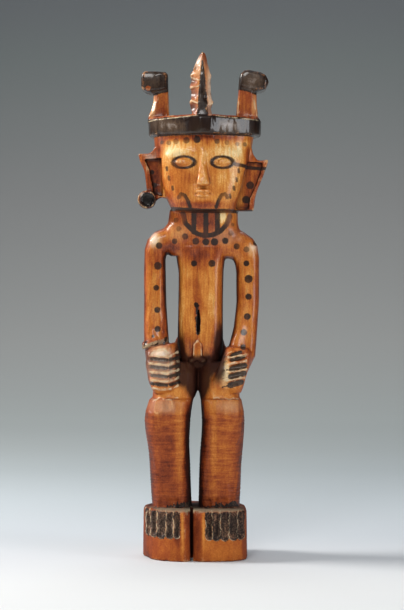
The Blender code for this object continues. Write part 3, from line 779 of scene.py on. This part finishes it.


# Broad patches in the front view: across, up, half width, half height and strength.
# Wood and paint are brighter above 0 and darker below it, and many wood patches are painted light and shade;
# a patch on the band's right is a painted reflection.
# Pale ones are greyed, partly as wear and partly as painted highlight, faint ones have lost their painted
# lines, white ones are bleached wood and painted glare, and soot is blackened, partly grime and partly
# painted shade
stainSet = {
    "woodToneLightAndShade": [
        # leaf and posts: painted shade in the leaf's scallops, and painted highlights on the posts' flats
        # and edges, partly rubbed wear
        (3.0, 291.5, 3.4, 5, 0.2), (0.6, 278.8, 3.6, 20.2, 0.16), (8.9, 280, 2.4, 17.8, 0.2),
        (-1.2, 283.0, 1.9, 2.0, -0.4), (-1.1, 275.6, 1.9, 2.4, -0.4), (-1.0, 267.2, 1.9, 2.2, -0.4),
        (-25.6, 269.9, 1.8, 7.1, 0.5), (-15.8, 269.9, 0.6, 8.3, 0.3),
        (25.5, 269.9, 0.7, 8.3, 0.35), (35.6, 269.9, 2.4, 7.1, 0.25),
        # head: painted shadow under the crown band and under the chin, and painted light on the brow's left
        (2.9, 250, 27.3, 1.9, -0.5), (3, 247, 24, 4, -0.07), (-20.8, 245.5, 4.2, 5.3, -0.3),
        (-12, 243, 10, 5, 0.22), (-11.3, 240.8, 7.1, 3, 0.12), (20, 241, 9, 6, 0.06),
        (20.8, 242, 7.1, 5.3, 0.15), (-10.1, 226.5, 7.7, 11.9, -0.22), (10.1, 226.5, 4.8, 11.9, -0.1),
        (-16.1, 214.6, 3.6, 4.8, -0.2), (2.9, 210.5, 15.5, 2.1, -0.35),
        # ears and ornament
        (-31.4, 230, 4.5, 12, -0.1), (-25.6, 224.1, 3.6, 11.9, -0.05), (39.4, 222, 3.4, 18, -0.15),
        (-28.6, 213.4, 5.3, 5.3, -0.5),
        # neck
        (4.7, 202.1, 10.1, 5.9, -0.36), (-9, 203.3, 3, 5.9, -0.1), (16, 202.7, 3, 4.2, 0.65),
        (-13.5, 194.0, 5.0, 5.0, 0.16),
        # shoulders and chest: the first two are painted highlights on the shoulders' tops
        (-23.3, 189.5, 3.6, 4.4, 0.4), (33.2, 184.2, 3.6, 2.8, 0.3), (29, 189, 6, 5, 0.08),
        (2.3, 190.8, 15.5, 3.6, -0.15), (2.9, 181.3, 14.3, 5.9, -0.32), (-14.9, 185.5, 5.3, 3.6, -0.35),
        (-22, 179, 5.9, 5.9, -0.2),
        # torso: painted shade down its middle groove and painted light on the lobes beside it
        (1.1, 154, 1.8, 26.7, -0.25), (-4.2, 154, 2.4, 23.8, 0.08), (9.5, 154, 3, 23.8, 0.2),
        (-8.6, 150, 2.0, 32, 0.24), (-1, 133, 8, 7, 0.12), (-3, 128.4, 4.8, 7.1, -0.1),
        (11.8, 127.3, 3.6, 13.1, -0.3),
        # arms: painted shade along their edges and painted light down their middles
        (-29.8, 154, 0.9, 29.7, -0.15), (-23.8, 162.9, 3, 11.9, 0.1), (-18.5, 154, 1.5, 29.7, -0.3),
        (24.9, 154, 1.6, 29.7, 0.1), (31.5, 154, 3, 20.8, 0.13), (36.2, 154, 1.2, 29.7, -0.2),
        # hands: painted shade on the right hand's edges and painted highlights on the left hand's lit
        # knuckle facets
        (-20, 124, 6, 3, 0.2), (-27.4, 113.6, 1.8, 9.5, -0.3), (-14.3, 114.8, 1.2, 9.5, -0.35),
        (18.4, 111.2, 2.4, 7.1, 0.3), (17.5, 110.5, 3.2, 8, 0.35),
        # thighs and knees
        (-17.9, 99.3, 8.3, 3, 0.12), (17.2, 98.1, 8.3, 2.4, 0.05), (-18, 93, 8, 3, -0.1),
        # shins: their inner sides darkened, partly grime and partly painted shade, with lighter strips
        # beside them
        (-25.6, 64.9, 2.4, 29.7, -0.08), (-17, 64.9, 4.4, 26.7, -0.12), (-9, 64.9, 2.6, 29.7, 0.2),
        (-4.2, 61.9, 1.8, 32.7, -0.4), (5.9, 64.9, 2.4, 32.7, -0.1), (11.3, 64.9, 1.8, 32.7, 0.2),
        (18.5, 64.9, 4, 29.7, 0.06),
        # base
        (-10.1, 13.8, 2.4, 3.6, -0.25), (-7.4, 17.3, 0.9, 14.9, 0.35), (-4.2, 16, 1.9, 14, -0.12),
        (1.6, 16, 2.3, 14, -0.2), (5.0, 19.5, 0.9, 10.9, 0.35), (16, 10, 12, 10, 0.1),
    ],
    "paint": [
        # knobs and crown band: the band's right patch is a painted reflection, the rest the paint's own grey
        (-23.2, 284.7, 7.1, 5.3, 0.18), (33.8, 284.7, 5.9, 5.3, 0.55), (-20.8, 260.4, 4.8, 1.8, 0.3),
        (-14.9, 256.8, 8.3, 3.2, 0.62), (4.2, 257, 7.0, 7.0, -1.0), (19.6, 256.8, 5.9, 3.2, 0.75),
        (24.3, 256.8, 0.9, 3.6, 0.25), (36.0, 257.0, 3.0, 5.0, -0.2),
        # ornament, crack, hands, ankle and toes; the crack's patch blackens its coat as painted shade
        (-28.2, 213.8, 5.4, 5.4, -0.5), (1.3, 144.0, 4.0, 12.0, -0.8), (-20.8, 113.6, 8.3, 10.7, 0.7),
        (24.9, 113.6, 5.3, 11.9, 0.28), (-14.9, 31.6, 8.3, 3, 0.15), (-19.7, 20.9, 11.9, 7.1, 0.36),
        (17.8, 19.7, 11.9, 8.3, 0.2),
    ],
    "pale": [
        # leaf and posts: greyed wear, and painted highlight on the posts' outer flats
        (2.6, 291.5, 3.4, 6, 0.5), (0.6, 280, 3.6, 20.2, 0.2), (8.9, 280, 2.4, 17.8, 0.7),
        (-25.6, 269.9, 1.8, 7.1, 0.6), (35.6, 270.5, 1.8, 7.1, 0.3),
        # shoulders, hands and knees: painted highlights on the shoulders and the lit knuckle facets, greyed
        # wear elsewhere
        (-10.1, 194.4, 5.9, 4.8, 0.2), (17.8, 192, 9.5, 4.8, 0.25), (-23.3, 189.5, 3.2, 4.0, 0.75),
        (33.2, 184.2, 3.2, 2.4, 0.6), (-20, 124, 6, 3, 0.6), (-20.8, 115.4, 7.1, 10.7, 0.35),
        (17.5, 110.5, 3.2, 8, 0.7), (-17.9, 91.2, 9, 3.8, 0.5), (19.6, 91.2, 8, 3.6, 0.45),
    ],
    "faint": [
        # brow, cheeks and whiskers
        (-12.0, 247.6, 9.0, 3.0, 0.5), (22.5, 247.0, 10.0, 3.0, 0.55), (-15.0, 225.0, 3.0, 12.0, 0.25),
        (25.0, 224.0, 3.0, 12.0, 0.25), (-9.0, 215.0, 3.4, 4.0, 0.3), (17.8, 215.4, 3.4, 3.4, 0.35),
        # neck and shoulders
        (19.5, 204.5, 2.6, 4.0, 0.25), (-7.0, 203.5, 2.4, 3.0, 0.3), (-10.4, 199.0, 3.0, 5.5, 0.55),
        (21.6, 196.0, 2.6, 5.5, 0.55), (-9.0, 190.5, 4.5, 3.5, 0.3), (30.0, 185.0, 5.0, 3.0, 0.3),
    ],
    "white": [
        # leaf, ear and ornament: bleached wood on the leaf, painted glare on the ear and on the ornament's
        # rim
        (1.4, 295.0, 1.6, 4.0, 0.6), (8.8, 277, 1.6, 13, 0.28), (-26.7, 239.4, 3.0, 1.4, 0.7),
        (-31.2, 216.4, 1.3, 1.6, 0.7),
        # shoulders and right hand: painted glare
        (-24.6, 190.6, 1.9, 3.4, 0.8), (35.0, 185.6, 2.2, 1.2, 0.5), (-20.4, 122.4, 5.2, 1.6, 0.6),
        (-18.5, 112.5, 8.0, 8.0, 0.25),
    ],
    # grime and painted shade: darkens the space between the hands and between the thighs
    "soot": [  # between the hands and between the thighs
        (14.6, 123, 3.8, 18, 1), (-8.8, 119, 3.4, 15, 1), (1.5, 118.5, 10, 3.2, 0.6),
        (7.1, 114.8, 4.8, 5.3, 0.9), (-3.6, 113.6, 4.8, 5.3, 0.9), (1.1, 107.1, 9.5, 7.7, 1),
        (1.7, 99.3, 5.3, 8.3, 0.9),
    ],
}


def stains(points, normals, patches):
    x, z = points[:, 0], points[:, 2]
    total = np.zeros(len(points))
    for across, up, wide, high, strength in patches:
        away = ((x - across) / wide) ** 2 + ((z - up) / high) ** 2
        total += strength * np.exp(-(away ** 1.5))
    return total * ease(-normals[:, 1], -0.5, 0.1)


def lineMarks(points, normals):  # dots, bars and outlines, painted on the front alone
    s = markSet
    x, z = points[:, 0], points[:, 2]
    headX = layout["headX"]
    marks = [toDots(x, z, s["dots"]), toPath(x, z, s["beardRim"], s["beardRimHalf"])]
    for across, top, foot in s["beardBars"]:
        marks.append(toPath(x, z, [(across, top), (across, foot)], s["beardBarHalf"]))
    lean, length = s["cheekStroke"]
    for across, up in s["cheeks"]:
        marks.append(toPath(x, z, [(across, up), (across + lean, up + length)], s["cheekHalf"]))
    wide, high = s["lidRadii"]
    for way in (-1, 1):
        curl = [(headX + way * aside, layout["chin"] + above) for aside, above in s["whisker"]]
        marks.append(toPath(x, z, curl, s["whiskerHalf"]))
        lid = np.hypot((x - headX - way * eyeAside) / wide, (z - eyeLevel - s["lidRise"]) / high)
        marks.append(np.abs(lid - 1) * high - s["lidHalf"])
    for line in ("jawLine", "earBar"):
        marks.append(toPath(x, z, s[line], s[line + "Half"]))
    return np.maximum(np.min(marks, axis=0), (normals[:, 1] + 0.05) * 6)


def crownCoats(x, z, normals, front):  # the band, the leaf's spine and the posts' knobs
    s = coatSet
    band = np.maximum.reduce([s["bandFoot"] - z, z - s["bandTop"], (normals[:, 2] - 0.6) * 5])
    spine = np.abs(x - layout["leafX"]) - np.interp(z, s["leafLevels"], s["leafHalf"])
    coats = [band, np.maximum.reduce([spine, s["spineFoot"] - z, z - s["leafLevels"][-1], front])]
    for across, levels in s["knobs"]:
        off = np.maximum(across[0] - x, x - across[-1]) - 1
        knob = np.maximum(np.interp(x, across, levels) - z, off)
        coats.append(np.maximum(knob, -toDots(x, z, [s["bareSpot"]])))
    return coats


def ankleCoat(x, y, z):
    s = coatSet
    broad = np.array([noise.noise(Vector((across / 5, 1.0, 2.0))) for across in x])
    fine = np.array([noise.noise(Vector((across, 4.0, 2.0))) for across in x])
    top = np.interp(x, s["ankleAcross"], s["ankleTops"]) + s["ankleRagged"] * (broad + fine)
    return np.maximum.reduce([z - top, s["ankleFoot"] - z, s["ankleFront"] - y])


def toeCoats(x, z):
    top = layout["soleTop"]
    for middle, half, foot in toes():
        stroke = toPath(x, z, [(middle, foot), (middle, top - 1.6)], half + 0.2)
        yield np.maximum(stroke, z - top + 1.2)


def fingerCoats(x, z):
    s = handSet
    outer, fold = s["rightEnds"]
    near, far = s["rightTips"]
    for level in s["rightLevels"]:
        yield toPath(x, z, [(outer + 1.0, level + 1.0), (fold - 0.2, level + 0.1)], s["rightHalf"] - 0.75)
        yield toPath(x, z, [(near, level + 0.3), (far, level + 1.6)], s["rightHalf"] - 0.8)
    for level, inner, outer, half in s["leftFlutes"]:
        knuckle = [(inner - 3.2, level - 2.0), (inner + 1.6, level - 0.9)]
        yield toPath(x, z, knuckle, coatSet["knuckleHalf"])
        yield toPath(x, z, [(inner + 1.6, level - 0.9), (outer - 1.4, level + 1.0)], half - 0.2)


def coatMarks(points, normals):  # the broad coats of dark paint
    s = coatSet
    x, y, z = points.T
    front = (normals[:, 1] + 0.2) * 6
    small = [*toeCoats(x, z), *fingerCoats(x, z), toDots(x, z, [s["ornament"]])]
    small += [toPath(x, z, band, s["ringBandHalf"]) for band in s["ringBands"]]
    small += [toPath(x, z, edge, half) for edge, half in s["crack"]]
    coats = [*crownCoats(x, z, normals, front), ankleCoat(x, y, z), np.maximum(np.min(small, axis=0), front)]
    return np.min(coats, axis=0)


def paleLines(points, normals):  # thin pale lines on the crown, the knees, the toes and the fingers: scraped wear, and painted highlights on the leaf's ridges and the knee ledges
    s = scrapedAndHighlitSet
    x, z = points[:, 0], points[:, 2]
    # painted highlight: the pale lines along the leaf's ridges stand for their lit crests
    lines = [toPath(x, z, ridge, s["leafRidge"]) for ridge in leafSet["ridges"]]
    lines += [toPath(x, z, edge, s["edge"]) for edge in coatSet["bandEdges"] + postSet["edges"]]
    lines.append(toPath(x, z, layout["loinEdge"], s["loin"]))
    # worn edge and painted highlight: the pale lines on the knee ledges stand for their lit tops
    lines += [toPath(x, z + 0.3 * np.sin(x * 1.3), ledge, s["knee"]) for ledge in kneeSet["ledges"]]
    for middle, half, foot in toes():
        start = middle - half
        arc = np.abs(np.hypot(x - middle, z - foot) - half) - s["toeTip"]
        lines.append(np.maximum(arc, z - foot))
        sway = 0.35 * np.sin(z * 0.8 + start) + 0.2 * np.sin(z * 2.3 + 2 * start)
        lines.append(toPath(x + sway, z, [(start, foot), (start, layout["soleTop"])], s["toeSide"]))
    for crest in handSet["crests"] + [handSet["arch"]]:
        sway = 0.35 * np.sin(x * 0.9 + crest[0][1])
        lines.append(toPath(x, z + sway, crest, s["crest"] + 0.25 * np.sin(x * 1.7)))
    return np.maximum(np.min(lines, axis=0), (normals[:, 1] + 0.1) * 6)


# Colour and wear that follow the form, each from 0 to 1 at every point
toneSet = {
    "levels": (0, 28, 31, 84, 89, 96, 106, 118, 140, 182, 196, 206, 214, 250, 256, 263, 300),
    "tones": (0.41, 0.41, 0.32, 0.4, 0.5, 0.6, 0.56, 0.52, 0.6, 0.58, 0.5, 0.56, 0.72, 0.8, 0.5, 0.36, 0.4),
    "bodyMiddle": 3.6,
    "armAside": (13.5, 17),
    "armLevels": (112, 126, 188, 206),
    "arm": 0.06,
    "earAside": (23.5, 26.5),
    "earLevels": (203, 207, 243, 247),
    "ear": 0.36,
    "side": 0.24,  # painted shade: how much darker the surfaces turned away from the front are painted
    "shinLevels": (30, 33, 86, 89),
    "handLevels": (98, 101, 130, 133),
}
crustSet = {  # the grey crust on the base and on the wrist ring
    "lip": 0.85,
    "lipLevels": (27.8, 29.4, 30.2, 31.5),
    "lipFront": (-15, -19),
    "top": 0.6,
    "topLevels": (29.2, 29.8, 31.0, 32.0),
    "topFront": (0, -8),
    "cuffHalf": 1.3,
    "corner": (-29.0, 25.5, 2.8, 5.5, 0.7),
}
wearAndShadeSet = {
    "reach": 9,  # how many steps the smoothed surface spreads over
    "hollowDepth": 0.55,
    "rimHeight": 0.37,
    "rays": 28,
    "rayStart": 0.15,
    "rayLength": 24.0,
}


def opening(piece, points, normals, pairs):  # how much of the sky each point sees, 0 to 1
    s = wearAndShadeSet
    tree = BVHTree.FromObject(piece, bpy.context.evaluated_depsgraph_get())
    turn = math.pi * (3 - math.sqrt(5))
    sky = []
    for ray in range(s["rays"]):
        up = 1 - (2 * ray + 1) / s["rays"]
        side = math.sqrt(1 - up * up)
        sky.append((side * math.cos(turn * ray), side * math.sin(turn * ray), up))
    sky = np.array(sky)
    starts = [Vector(start) for start in (points + normals * s["rayStart"]) * mm]
    facing = normals @ sky.T
    seen, whole = np.zeros(len(points)), np.zeros(len(points))
    for ray, direction in enumerate(sky):
        aim, weight = Vector(direction), facing[:, ray]
        for place in np.flatnonzero(weight > 0.12):
            whole[place] += weight[place]
            if tree.ray_cast(starts[place], aim, s["rayLength"] * mm)[0] is None:
                seen[place] += weight[place]
    return spread(seen / np.maximum(whole, 0.01), pairs, 3)


def store(piece, name, values):
    layer = piece.data.attributes.new(name, "FLOAT", "POINT")
    layer.data.foreach_set("value", np.asarray(values, np.float32))


def wearAndShadeFigure(piece):
    s = wearAndShadeSet
    points, normals, pairs = readRows(piece, "co") / mm, readRows(piece, "normal"), neighbours(piece)
    sunk = spread(sunkness(points, normals, pairs, s["reach"]), pairs, 2)
    store(piece, "hollow", np.clip(sunk / s["hollowDepth"], 0, 1))
    store(piece, "rim", np.clip(-sunk / s["rimHeight"], 0, 1))
    # how open each point is to the sky, which the wood's colour turns into painted shade
    store(piece, "open", opening(piece, points, normals, pairs))


def thinOut(piece):  # fewer faces, but small ones along the edges of the paint
    s = surfaceSet
    points, normals = readRows(piece, "co") / mm, readRows(piece, "normal")
    edges = [np.abs(marks(points, normals)) for marks in (lineMarks, coatMarks, paleLines)]
    plain = np.flatnonzero(np.min(edges, axis=0) > s["paintReach"])
    group = piece.vertex_groups.new(name="plain")
    group.add(plain.tolist(), 1.0, "REPLACE")
    count = sum(len(face.vertices) - 2 for face in piece.data.polygons)
    applyModifier(piece, "DECIMATE", ratio=min(1.0, s["triangles"] / count), vertex_group="plain")
    piece.vertex_groups.clear()
    activate(piece)
    bpy.ops.object.shade_smooth()


def toneOf(points, normals):  # the bare wood's tone, with the wood stains' painted light and shade and painted shade on its sides
    s = toneSet
    x, z = points[:, 0], points[:, 2]
    arm = ease(np.abs(x - s["bodyMiddle"]), *s["armAside"]) * within(z, *s["armLevels"])
    ear = ease(np.abs(x - layout["leafX"]), *s["earAside"]) * within(z, *s["earLevels"])
    # painted shade: surfaces turned sideways from the front are painted darker
    side = ease(np.abs(normals[:, 1]), 0.85, 0.1)
    tone = np.interp(z, s["levels"], s["tones"]) + stains(points, normals, stainSet["woodToneLightAndShade"])
    return tone - s["arm"] * arm - s["ear"] * ear - s["side"] * side


def matteOf(points, normals):  # the crown's top and the legs have lost their shine
    z = points[:, 2]
    crown = ease(normals[:, 2], 0.4, 0.8) * ease(z, 256, 261)
    return np.maximum(crown, 0.65 * ease(z, 108, 98) + 0.35 * ease(z, 32, 30))


def crustOf(points, normals):
    s = crustSet
    x, y, z = points.T
    lip = s["lip"] * within(z, *s["lipLevels"]) * ease(y, *s["lipFront"])
    top = s["top"] * within(z, *s["topLevels"]) * ease(normals[:, 2], 0.6, 0.9) * ease(y, *s["topFront"])
    cuff = ease(toPath(x, z, handSet["ring"], s["cuffHalf"]), 0.9, -0.5) * ease(normals[:, 1], 0.2, -0.2)
    return np.clip(lip + top + cuff + stains(points, normals, [s["corner"]]), 0, 1)


def paintFigure(piece):
    points, normals = readRows(piece, "co") / mm, readRows(piece, "normal")
    y, z = points[:, 1], points[:, 2]
    store(piece, "lineInk", lineMarks(points, normals))
    store(piece, "coatInk", coatMarks(points, normals))
    store(piece, "paleLine", paleLines(points, normals))
    store(piece, "tone", toneOf(points, normals))
    store(piece, "shin", within(z, *toneSet["shinLevels"]))
    store(piece, "matte", matteOf(points, normals))
    store(piece, "chalk", crustOf(points, normals))
    behindHands = within(z, *toneSet["handLevels"]) * ease(y, -10, -6)
    frontNotBehindHands = ease(y, 6, 0) * (1 - behindHands)  # the hips behind the hands, and the back, stay brown
    for name in ("paint", "soot"):
        store(piece, name, stains(points, normals, stainSet[name]))
    for name in ("pale", "faint", "white"):
        store(piece, name, stains(points, normals, stainSet[name]) * frontNotBehindHands)


wearAndShadeFigure(figure)
thinOut(figure)
print("figure thinned to", len(figure.data.polygons), "faces")
paintFigure(figure)
print("paint laid out")


# Wood: oiled and handled, dark in the hollows with grime and painted shade, and pale where it is rubbed
woodSet = {
    "tones": [
        (0.00, rgb(58, 20, 10)),
        (0.15, rgb(108, 42, 16)),
        (0.35, rgb(152, 70, 26)),
        (0.55, rgb(188, 106, 38)),
        (0.75, rgb(214, 142, 64)),
        (0.90, rgb(234, 180, 106)),
        (1.00, rgb(246, 214, 156)),
    ],
    "streak": rgb(90, 34, 12),
    "dirtAndShade": rgb(40, 15, 8),
    "rubbed": rgb(238, 200, 148),
    "mark": rgb(38, 24, 18),
    "inks": [(0.0, rgb(16, 13, 12)), (0.5, rgb(84, 69, 56)), (1.0, rgb(166, 156, 148))],
    "paleGreyAndHighlit": rgb(208, 182, 150),
    "scrapedAndHighlit": rgb(216, 194, 158),
    "glareAndBleachWhite": rgb(250, 240, 224),
    "chalk": rgb(134, 126, 104),
    "specular": 0.2,
    "varnish": 0.32,
    "paintVarnish": 0.22,
    "varnishRoughness": 0.13,
    "bump": 0.8,
    "bumpDepth": 0.14,
}


def unevenness(sheet):  # blotch, patch, grain, fleck and scraper chatter, each from -0.5 to 0.5
    clouds = [
        sheet.cloud(11.0, 4.0, 0.55),
        sheet.cloud(3.2, 3.0, 0.6, (1, 1, 2)),
        sheet.cloud(1.2, 4.0, 0.7, (1, 1, 15)),
        sheet.cloud(0.9, 3.0, 0.6),
        sheet.cloud(1.2, 3.0, 0.65, (11, 11, 1)),
    ]
    return [cloud - 0.5 for cloud in clouds]


def bareWood(sheet, uneven):  # its colour, and how dark it is with dirt and painted shade
    s = woodSet
    blotch, patch, grain, fleck, chatter = uneven
    matte = sheet.attribute("matte")
    # painted shade: points that see little sky are darkened, as shade falls there
    shade = 1 - sheet.between(sheet.attribute("open") + patch * 0.16, 0.22, 0.8)
    tone = sheet.attribute("tone") + blotch * (0.5 - 0.25 * matte) + patch * 0.3 - shade * 0.2
    tone = tone + grain * (1 - matte) * 0.75 + chatter * sheet.attribute("shin") * 0.55 + fleck * 0.36
    streak = sheet.between(grain, 0.06, 0.22) * (1 - matte * 0.8) * 0.4
    colour = sheet.mix(streak, sheet.ramp(tone, s["tones"]), s["streak"])
    # greyed wear, and painted highlights on the shoulders, knuckles and post flats
    colour = sheet.mix(sheet.attribute("pale") * (0.7 + patch * 0.8), colour, s["paleGreyAndHighlit"])
    # painted glare, and bleached wood on the leaf
    colour = sheet.mix(sheet.attribute("white") * (0.8 + patch * 0.8), colour, s["glareAndBleachWhite"])
    worn = sheet.between(sheet.attribute("rim") + fleck * 0.5 + patch * 1.2, 0.55, 1.05)
    colour = sheet.mix(worn * 0.5, colour, s["rubbed"])
    # soot and painted shade between the hands and between the thighs
    soot = sheet.between(sheet.attribute("soot") + patch * 0.6, 0.1, 0.75)
    grime = sheet.between(sheet.attribute("hollow") + fleck * 0.3, 0.2, 0.9)
    # dirt and painted shade together: the painted shade, the soot and the grime in the hollows
    dirtAndShade = sheet.larger(sheet.larger(shade * shade * 0.95, soot * 0.94), grime * 0.8)
    return sheet.mix(dirtAndShade, colour, s["dirtAndShade"]), dirtAndShade


def painted(sheet, uneven, colour):  # the colour with its lines, coats and crust, and where those two lie
    s = woodSet
    patch, grain, fleck = uneven[1:4]
    matte, paint = sheet.attribute("matte"), sheet.attribute("paint")
    edge = sheet.attribute("lineInk") + fleck * 0.6 + patch * 0.5 - 0.15
    line = sheet.between(edge, 0.35, -0.35) * (0.86 + 0.12 * sheet.between(patch, -0.15, 0.05))
    colour = sheet.mix(line * (1 - sheet.attribute("faint")), colour, s["mark"])

    ragged = 1 + matte * 0.8 + sheet.attribute("pale") * 1.2
    edge = sheet.attribute("coatInk") + (fleck * 1.1 + patch * 0.9) * ragged
    scuffed = sheet.between(sheet.attribute("rim") + fleck * 0.8 + patch * 1.3, 0.62, 1.0)
    scuffed = scuffed * sheet.between(paint, -0.45, -0.1)
    coat = sheet.between(edge, 0.3, -0.3) * (1 - 0.85 * scuffed)
    thin = sheet.between(patch + fleck * 0.8, -0.05, 0.25) * matte * 0.2
    lift = paint + 0.06 + patch * (0.5 + 1.2 * matte) + grain * 0.4 + fleck * (0.5 + 1.3 * matte)
    colour = sheet.mix(coat * (0.97 - thin), colour, sheet.ramp(lift, s["inks"]))

    scrapedAndHighlit = sheet.between(sheet.attribute("paleLine") + fleck * 0.7, 0.2, -0.2)
    scrapedAndHighlit = scrapedAndHighlit * sheet.between(patch + fleck * 0.8 * matte, -0.18, 0.12)
    colour = sheet.mix(scrapedAndHighlit * 0.8, colour, s["scrapedAndHighlit"])
    crust = sheet.between(sheet.attribute("chalk") + fleck * 1.7 + patch * 0.8, 0.4, 1.0) * (1 - coat)
    return sheet.mix(crust * 0.7, colour, s["chalk"]), coat, crust


def carvedWood():
    s = woodSet
    sheet = Sheet("carvedWood")
    uneven = unevenness(sheet)
    colour, dirtAndShade = bareWood(sheet, uneven)
    colour, coat, crust = painted(sheet, uneven, colour)
    patch, grain, fleck, chatter = uneven[1:]
    matte = sheet.attribute("matte")
    gloss = 0.45 + 0.1 * patch + 0.22 * matte + 0.25 * crust + 0.25 * dirtAndShade - 0.1 * coat
    varnish = (s["varnish"] + s["paintVarnish"] * coat) * (1 - dirtAndShade) * (1 - crust) * (1 - matte * 0.9)
    height = grain * 0.4 + fleck * 0.3 + chatter * sheet.attribute("shin") * 2.2 + coat * 0.3
    depth = {"Strength": s["bump"], "Distance": s["bumpDepth"] * mm, "Height": height}
    return sheet.finish(
        Base_Color=colour,
        Roughness=gloss,
        Normal=sheet.node("ShaderNodeBump", {}, depth),
        Specular_IOR_Level=s["specular"],
        Coat_Weight=varnish,
        Coat_Roughness=s["varnishRoughness"],
    )


figure.data.materials.append(carvedWood())
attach(figure, "root")
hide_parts("carved_figure")
print("wood finished")
